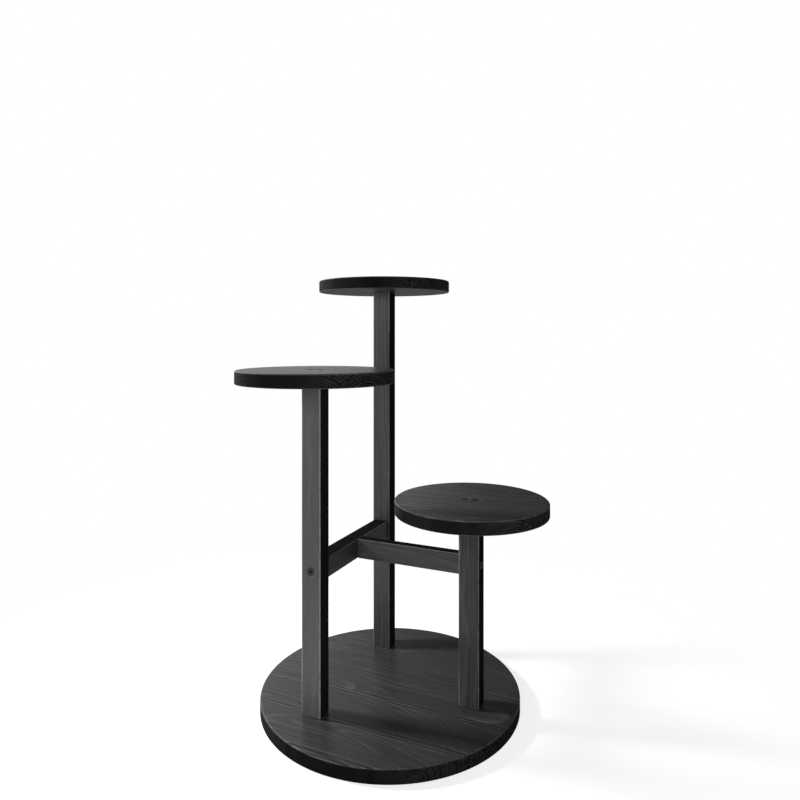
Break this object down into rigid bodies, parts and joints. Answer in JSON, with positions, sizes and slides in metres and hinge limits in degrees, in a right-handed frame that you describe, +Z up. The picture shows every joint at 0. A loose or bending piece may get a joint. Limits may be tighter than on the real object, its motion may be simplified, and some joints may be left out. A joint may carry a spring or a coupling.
{
  "type": "tiered plant stand",
  "caption": "Tiered plant stand of black-stained pine: a round base board, posts of stepped heights that each carry a round tray for a pot, and stretchers that brace the posts in a T.",
  "frame": {"origin": "the middle of the base board's underside, on the floor", "axes": "+Z up; +Y along the long stretcher, from the front post to the rear post; +X along the short stretcher, out to the side post"},
  "size_m": [0.391, 0.401, 0.58],
  "materials": {
    "black_stained_pine": "thin black stain with a satin sheen, the pine's grain showing through",
    "black_steel": "black finish, slightly glossy"
  },
  "bodies": {
    "root": {"base_board": "black_stained_pine", "front_post": "black_stained_pine", "rear_post": "black_stained_pine", "side_post": "black_stained_pine", "long_stretcher": "black_stained_pine", "short_stretcher": "black_stained_pine", "middle_tray": "black_stained_pine", "top_tray": "black_stained_pine", "low_tray": "black_stained_pine", "front_post_foot_screws": "black_steel", "rear_post_foot_screws": "black_steel", "side_post_foot_screws": "black_steel", "middle_tray_screws": "black_steel", "top_tray_screws": "black_steel", "low_tray_screws": "black_steel", "front_stretcher_screw": "black_steel", "rear_stretcher_screw": "black_steel", "side_stretcher_screw": "black_steel", "tee_stretcher_screw": "black_steel"}
  },
  "joints": []
}
